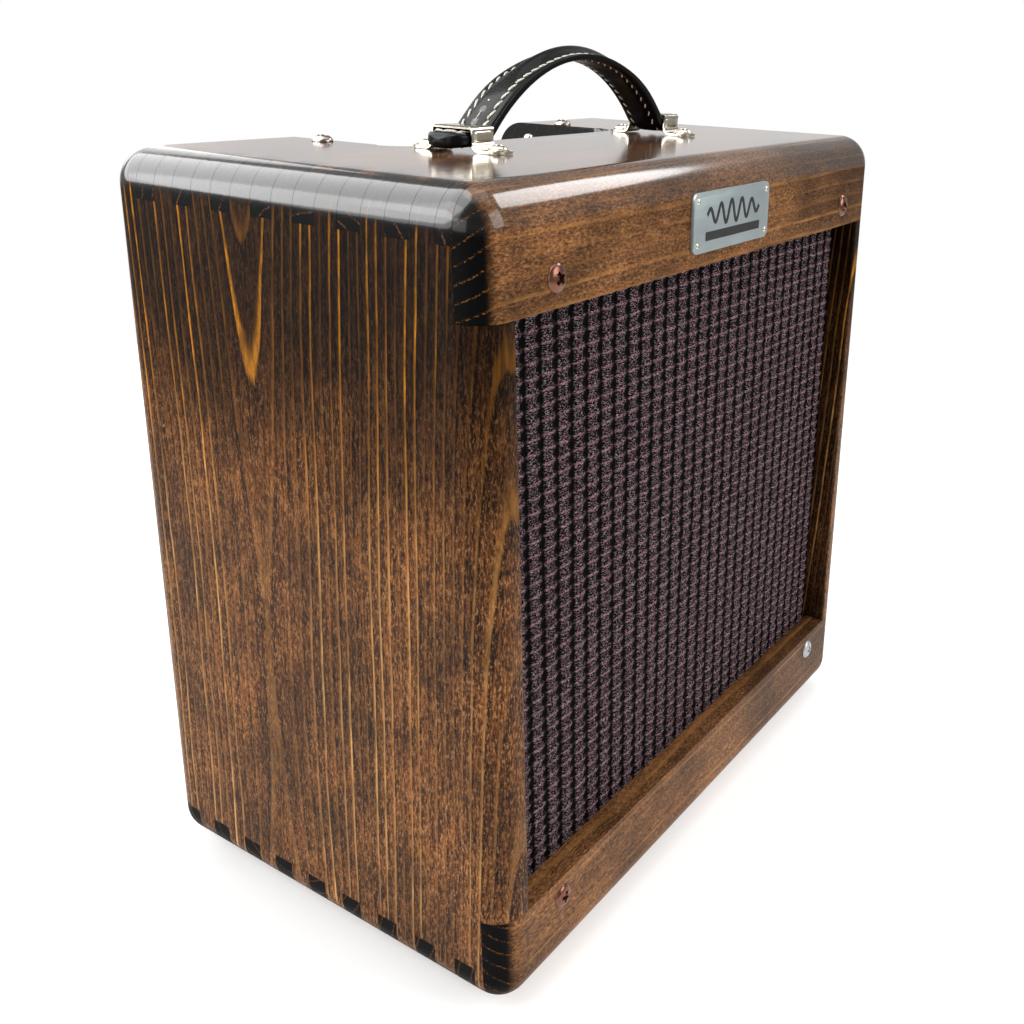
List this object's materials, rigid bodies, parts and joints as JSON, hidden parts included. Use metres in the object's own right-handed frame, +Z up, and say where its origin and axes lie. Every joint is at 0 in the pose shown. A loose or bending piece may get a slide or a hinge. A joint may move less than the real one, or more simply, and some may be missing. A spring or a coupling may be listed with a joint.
{
  "type": "guitar tube amplifier",
  "caption": "Small combo tube guitar amplifier: finger-jointed stained pine cabinet with cloth grille, strap handle, open back and a valve chassis with controls in a notch in the top.",
  "frame": {"origin": "on the ground plane under the centre of the cabinet's overall box, between the four feet", "axes": "+X to the right as seen from the front, +Y towards the back (the grille faces -Y), +Z up"},
  "size_m": [0.343, 0.1992, 0.3632],
  "materials": {
    "stained_pine": "dark walnut stain under a glossy clear coat",
    "plywood": "raw birch plywood, unfinished",
    "grille_cloth": "woven oxblood and black speaker cloth",
    "bronze": "copper-bronze plated screws",
    "nickel": "nickel plate, slightly worn",
    "steel": "zinc-plated sheet steel",
    "satin_plate": "satin silver plate",
    "leather": "black leather with white saddle stitching",
    "black_plastic": "black phenolic, gloss",
    "rubber": "black rubber",
    "glass": "clear valve glass",
    "red_glass": "red jewel",
    "paper": "black pressed paper",
    "black_paint": "black paint on steel",
    "board_fibre": "black vulcanised fibre board"
  },
  "bodies": {
    "cabinet": {"badge_plate": "satin_plate", "baffle_board": "plywood", "bottom_board": "stained_pine", "chassis_screw_left": "nickel", "chassis_screw_right": "nickel", "chassis_tray": "steel", "circuit_board": "board_fibre", "foot_front_left": "rubber", "foot_front_right": "rubber", "foot_rear_left": "rubber", "foot_rear_right": "rubber", "front_bottom_rail": "stained_pine", "front_screw_bottom_left": "bronze", "front_screw_bottom_right": "bronze", "front_screw_top_left": "bronze", "front_screw_top_right": "bronze", "front_top_rail": "stained_pine", "fuse_holder": "black_plastic", "grille_cloth": "grille_cloth", "handle_cap_left": "nickel", "handle_cap_right": "nickel", "handle_screw_left_front": "nickel", "handle_screw_left_rear": "nickel", "handle_screw_right_front": "nickel", "handle_screw_right_rear": "nickel", "input_jack_1": "nickel", "input_jack_2": "nickel", "left_cleat": "plywood", "left_side": "stained_pine", "lower_back_panel": "stained_pine", "lower_back_screw_left": "nickel", "lower_back_screw_right": "nickel", "mains_inlet": "black_plastic", "output_transformer": "black_paint", "pilot_lamp": "red_glass", "power_switch": "nickel", "power_transformer": "black_paint", "power_valve": "glass", "power_valve_socket": "black_plastic", "preamp_valve": "glass", "preamp_valve_socket": "black_plastic", "rectifier_socket": "black_plastic", "rectifier_valve": "glass", "right_cleat": "plywood", "right_side": "stained_pine", "speaker_basket": "black_paint", "speaker_magnet": "steel", "speaker_surround": "rubber", "top_board": "stained_pine", "upper_back_panel": "stained_pine", "upper_back_screw_left": "nickel", "upper_back_screw_right": "nickel", "volume_pot": "steel"},
    "volume_knob": {"volume_knob": "black_plastic"},
    "switch_lever": {"switch_lever": "nickel"},
    "speaker_cone": {"speaker_cone": "paper", "speaker_dust_cap": "paper"},
    "handle_crown": {"handle_grip": "leather"},
    "handle_tab_left": {"handle_tab_left": "leather"},
    "handle_tab_right": {"handle_tab_right": "leather"}
  },
  "joints": [
    {"name": "volume_turn", "type": "hinge", "parent": "cabinet", "child": "volume_knob", "pos_m": [-0.02, 0.056, 0.31], "axis": [0, 0, 1], "range_deg": [-150, 150]},
    {"name": "switch_throw", "type": "hinge", "parent": "cabinet", "child": "switch_lever", "pos_m": [0.045, 0.056, 0.3098], "axis": [1, 0, 0], "range_deg": [-30, 0]},
    {"name": "cone_travel", "type": "slide", "parent": "cabinet", "child": "speaker_cone", "axis": [0, -0.9982, 0.0597], "range_m": [-0.002, 0.002], "stiffness_N_per_m": 2500, "deforming": ["speaker_surround"]},
    {"name": "handle_press", "type": "slide", "parent": "cabinet", "child": "handle_crown", "axis": [0, 0, -1], "range_m": [0, 0.0235], "deforming": ["handle_grip"]},
    {"name": "tab_left_slide", "type": "slide", "parent": "handle_crown", "child": "handle_tab_left", "axis": [-0.2855, 0, 0.9584], "range_m": [0, 0.02453]},
    {"name": "tab_right_slide", "type": "slide", "parent": "handle_crown", "child": "handle_tab_right", "axis": [0.2855, 0, 0.9584], "range_m": [0, 0.02453]}
  ],
  "couplings": [
    {"joint": "tab_left_slide", "follows": "handle_press", "ratio": 1.0434},
    {"joint": "tab_right_slide", "follows": "handle_press", "ratio": 1.0434}
  ]
}
